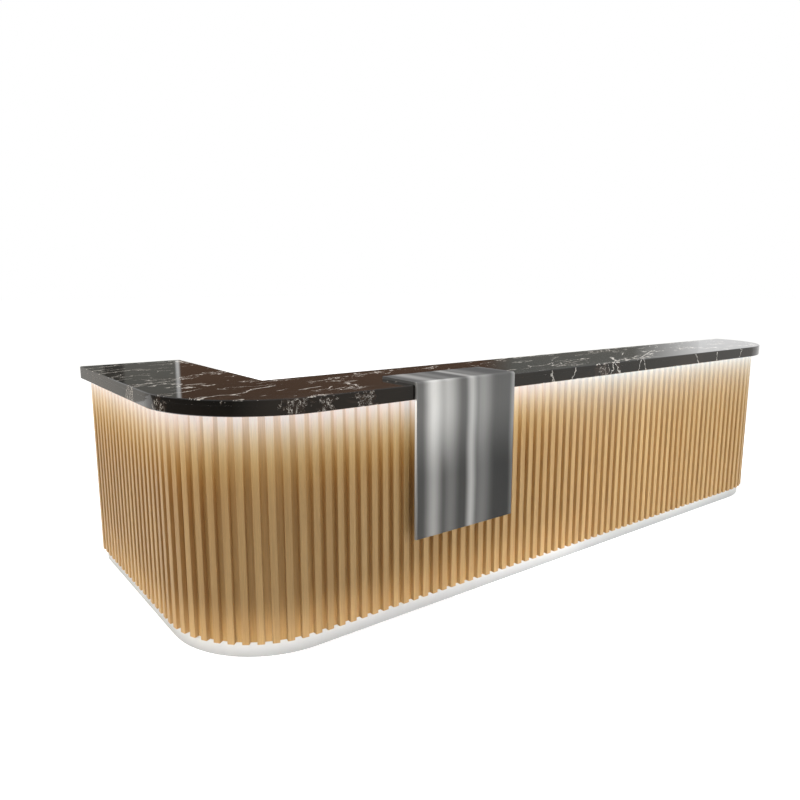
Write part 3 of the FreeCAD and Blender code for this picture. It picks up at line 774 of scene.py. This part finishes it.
# Shelf pins and screws, in metres
PIN_RADIUS = 0.0025
PIN_LENGTH = 0.010
PIN_COLLAR = 0.0045
PIN_INSET = 0.045
PIN_CHAMFER = 0.0006
SCREW_RADIUS = 0.0042
SCREW_HEIGHT = 0.0026
SOCKET_RADIUS = 0.0021
SOCKET_FLOOR = 0.0009
HANDLE_FOOT = 0.003
DRAWER_BOARD = 0.012
# Shelves that end no further than this behind the front of the staff side's apron are on the front arm
FRONT_ARM_SLACK = 0.1

PIN_RINGS = (
    (PIN_COLLAR, 0.0),
    (PIN_COLLAR, 0.0012),
    (PIN_RADIUS, 0.0016),
    (PIN_RADIUS, PIN_LENGTH - PIN_CHAMFER),
    (PIN_RADIUS - PIN_CHAMFER, PIN_LENGTH),
)
SCREW_RINGS = (
    (SCREW_RADIUS, 0.0),
    (SCREW_RADIUS, 0.0009),
    (0.88 * SCREW_RADIUS, 0.0018),
    (0.62 * SCREW_RADIUS, SCREW_HEIGHT),
    (SOCKET_RADIUS, SCREW_HEIGHT),
    (SOCKET_RADIUS, SOCKET_FLOOR),
    (0.2 * SOCKET_RADIUS, SOCKET_FLOOR - 0.0004),
)


def pins_under(shelf):
    """Four pins on the boards at both ends of a shelf, bearing on its underside."""
    low, high = shelf
    level = low.z - PIN_RADIUS
    on_front_arm = high.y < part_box("apron_staff")[0].y + FRONT_ARM_SLACK
    places = []
    if on_front_arm:
        for deep in (low.y + PIN_INSET, high.y - PIN_INSET):
            places.append(((low.x, deep, level), (1, 0, 0)))
            places.append(((high.x, deep, level), (-1, 0, 0)))
    else:
        for deep in (low.x + PIN_INSET, high.x - PIN_INSET):
            places.append(((deep, low.y, level), (0, 1, 0)))
            places.append(((deep, high.y, level), (0, -1, 0)))
    return places


def add_shelf_pins():
    places = []
    for node in ("open_shelves", "cupboard_shelf"):
        for shelf in boxes_of(node):
            places += pins_under(shelf)
    add_fittings("shelf_pins", PIN_RINGS, places, "counter", "hinge_steel")


def add_handle_screws():
    """Socket screws behind each foot of a handle, inside the doors and the drawers' inner fronts."""
    inward = (0, -1, 0)
    for side in ("left", "right"):
        low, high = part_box(f"door_{side}_handle")
        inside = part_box(f"door_{side}")[0].y
        middle = (low.x + high.x) / 2
        levels = (low.z + HANDLE_FOOT, high.z - HANDLE_FOOT)
        places = [((middle, inside, level), inward) for level in levels]
        add_fittings(f"door_{side}_screws", SCREW_RINGS, places, f"door_{side}", "handle_steel")
    for number in (1, 2, 3):
        low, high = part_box(f"drawer_{number}_handle")
        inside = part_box(f"drawer_{number}_box")[1].y - DRAWER_BOARD
        middle = (low.z + high.z) / 2
        ends = (low.x + HANDLE_FOOT, high.x - HANDLE_FOOT)
        places = [((end, inside, middle), inward) for end in ends]
        add_fittings(f"drawer_{number}_screws", SCREW_RINGS, places, f"drawer_{number}", "handle_steel")


add_shelf_pins()
add_handle_screws()


def add_camera():
    lens = bpy.data.cameras.new("camera")
    lens.sensor_width = SENSOR_MM
    lens.lens = FOCAL_PIXELS / FRAME_PIXELS * SENSOR_MM
    lens.clip_end = CAMERA_REACH
    camera = bpy.data.objects.new("camera", lens)
    camera.location = CAMERA_PLACE
    camera.rotation_euler = (math.pi / 2 - CAMERA_PITCH, 0, -CAMERA_YAW)
    bpy.context.scene.collection.objects.link(camera)
    bpy.context.scene.camera = camera


# Light from all round
AMBIENT = 0.385
AMBIENT_COLOUR = (1.0, 0.975, 0.935, 1.0)
# Floor: half its width, the light that its matt part gives back, and the lift that brings it up to white
FLOOR_REACH = 60.0
FLOOR_DIFFUSE = 0.88
FLOOR_LIFT = 0.69


def ray_is(tree, *kinds):
    """1 for the named kinds of ray, 0 for all others."""
    path = tree.nodes.new("ShaderNodeLightPath")
    found = path.outputs[kinds[0]]
    for kind in kinds[1:]:
        either = tree.nodes.new("ShaderNodeMath")
        either.operation = "MAXIMUM"
        tree.links.new(found, either.inputs[0])
        tree.links.new(path.outputs[kind], either.inputs[1])
        found = either.outputs[0]
    return found


def add_world():
    """Soft even light, and plain white where the camera or a mirror finish looks past the object."""
    world = bpy.data.worlds.new("studio")
    bpy.context.scene.world = world
    world.use_nodes = True
    tree = world.node_tree
    ambient = tree.nodes["Background"]
    ambient.inputs["Color"].default_value = AMBIENT_COLOUR
    ambient.inputs["Strength"].default_value = AMBIENT
    white = tree.nodes.new("ShaderNodeBackground")
    white.inputs["Color"].default_value = WHITE
    white.inputs["Strength"].default_value = 1.0
    mix = tree.nodes.new("ShaderNodeMixShader")
    seen = ray_is(tree, "Is Camera Ray", "Is Glossy Ray", "Is Transmission Ray")
    tree.links.new(seen, mix.inputs[0])
    tree.links.new(ambient.outputs[0], mix.inputs[1])
    tree.links.new(white.outputs[0], mix.inputs[2])
    tree.links.new(mix.outputs[0], tree.nodes["World Output"].inputs["Surface"])


def plane(name, corners):
    """A flat sheet of the studio, which isn't part of the object."""
    mesh = bpy.data.meshes.new(name)
    mesh.from_pydata(corners, [], [tuple(range(len(corners)))])
    made = bpy.data.objects.new(name, mesh)
    bpy.context.scene.collection.objects.link(made)
    return made


def add_floor():
    """Pale floor: a matt part that takes the object's shadow, and a lift that brings it up to white."""
    reach = FLOOR_REACH
    corners = [(-reach, -reach, 0), (reach, -reach, 0), (reach, reach, 0), (-reach, reach, 0)]
    floor = plane("floor", corners)
    finish = bpy.data.materials.new("studio_floor")
    finish.use_nodes = True
    tree = finish.node_tree
    shader = tree.nodes["Principled BSDF"]
    shader.inputs["Base Color"].default_value = (FLOOR_DIFFUSE, FLOOR_DIFFUSE, FLOOR_DIFFUSE, 1)
    shader.inputs["Roughness"].default_value = 1.0
    shader.inputs["Specular IOR Level"].default_value = 0.0
    shader.inputs["Emission Color"].default_value = WHITE
    lift = tree.nodes.new("ShaderNodeMath")
    lift.operation = "MULTIPLY"
    tree.links.new(ray_is(tree, "Is Camera Ray", "Is Glossy Ray"), lift.inputs[0])
    lift.inputs[1].default_value = FLOOR_LIFT
    tree.links.new(lift.outputs[0], shader.inputs["Emission Strength"])
    floor.data.materials.append(finish)


def add_lamp(name, place, target, size, power, colour=(1, 1, 1), spread=0):
    """A soft lamp that no camera or mirror sees. spread is in degrees, 0 for the widest."""
    lamp = bpy.data.lights.new(name, "AREA")
    lamp.shape = "RECTANGLE"
    lamp.size, lamp.size_y = size
    lamp.energy = power
    lamp.color = colour
    made = bpy.data.objects.new(name, lamp)
    made.location = place
    made.rotation_euler = (Vector(target) - Vector(place)).to_track_quat("-Z", "Y").to_euler()
    made.visible_camera = False
    made.visible_glossy = False
    if spread:
        lamp.spread = math.radians(spread)
    bpy.context.scene.collection.objects.link(made)


def mirror_board(name, first, last, height, axis, stops):
    """A board that only mirrors see, for the polished faces.

    It stands on the floor from first to last. stops are places along the axis and the colour there."""
    board = plane(name, [(*first, 0), (*last, 0), (*last, height), (*first, height)])
    finish = Finish(name, 1.0, specular=0.0)
    finish.to_shader("Base Color", BLACK)
    start = stops[0][0]
    length = stops[-1][0] - start
    shades = finish.node("ShaderNodeValToRGB")
    elements = shades.color_ramp.elements
    while len(elements) < len(stops):
        elements.new(0.5)
    for element, (place, colour) in zip(elements, stops):
        element.position = (place - start) / length
        element.color = (*colour, 1.0)
    finish.feed(shades.inputs[0], finish.ramp(finish.axis(axis), start, start + length, smooth=False))
    finish.glow(shades.outputs["Color"])
    board.data.materials.append(finish.material)
    board.visible_camera = False
    board.visible_diffuse = False
    board.visible_shadow = False
    board.visible_transmission = False


def add_mirror_boards():
    """Dim surroundings: behind the counter with one bright slit, at its left and in front of it."""
    back, left, front = 5.5, -5.6, -3.4
    back_right, front_right = 12.0, 9.0
    high, low = 2.3, 1.7
    light_end = -1.3
    slit_left, slit_middle, slit_right = 0.035, 0.07, 0.105
    slit_depth = back - 0.02
    light = (0.62, 0.60, 0.56)
    grey = (0.17, 0.17, 0.155)
    dim = (0.16, 0.155, 0.14)
    dark = (0.06, 0.06, 0.055)
    brown = (0.125, 0.075, 0.05)
    pale = (0.9, 0.9, 0.9)
    slit = (0.75, 0.75, 0.74)
    sand = (0.57, 0.54, 0.48)
    cream = (0.86, 0.83, 0.77)
    ivory = (0.90, 0.88, 0.85)

    def back_board(name, start, stop, depth, stops):
        """A board behind the counter. Its first and last colours stand at its ends."""
        places = ((start, stops[0]), *stops[1:-1], (stop, stops[-1]))
        mirror_board(name, (start, depth), (stop, depth), high, "X", places)

    back_board("board_back_left", left, light_end, back, (light, light))
    post = ((-0.80, grey), (-0.76, dark), (-0.58, dark), (-0.54, grey))
    back_board("board_back_grey", light_end, slit_middle, back, (grey, *post, grey))
    gleam = ((0.06, slit), (0.08, slit))
    back_board("board_back_slit", slit_left, slit_right, slit_depth, (grey, *gleam, brown))
    wall = ((5.2, brown), (6.0, grey), (9.5, grey))
    back_board("board_back_brown", slit_middle, back_right, back, (brown, *wall, pale))
    side_stops = ((front, dim), (2.8, dim), (3.2, grey), (back, grey))
    mirror_board("board_left", (left, back), (left, front), low, "Y", side_stops)
    front_stops = ((left, dim), (-2.5, sand), (0.0, sand), (2.0, cream), (front_right, ivory))
    mirror_board("board_front", (left, front), (front_right, front), low, "X", front_stops)


COOL = (0.93, 1.0, 1.05)
WARM = (1.0, 0.97, 0.90)


def add_lamps():
    """Soft light from the front, left, back and above, and a low lamp for the plinth."""
    add_lamp("key", place=(1.7, -4.8, 1.6), target=(1.4, -0.7, 0.4), size=(3.0, 1.8), power=48,
             colour=COOL)
    add_lamp("side", place=(-1.6, -6.0, 1.5), target=(0.7, -0.7, 0.45), size=(1.4, 1.2), power=7.4,
             colour=COOL, spread=34)
    add_lamp("foot", place=(-3.2, -3.4, 0.05), target=(-1.4, -0.6, 0.02), size=(2.6, 0.04), power=1.2,
             spread=8)
    add_lamp("fill", place=(-6.0, 0.8, 2.2), target=(-2.0, 0.2, 0.6), size=(2.4, 2.0), power=60,
             colour=WARM)
    add_lamp("rear", place=(0.5, 6.0, 4.5), target=(0, 0, 0.5), size=(5.0, 3.0), power=220)
    add_lamp("overhead", place=(0, 0, 4.0), target=(0, 0, 0), size=(4.6, 2.0), power=26, spread=70)


add_camera()
add_world()
add_floor()
add_mirror_boards()
add_lamps()

bpy.context.scene.view_settings.view_transform = "Standard"
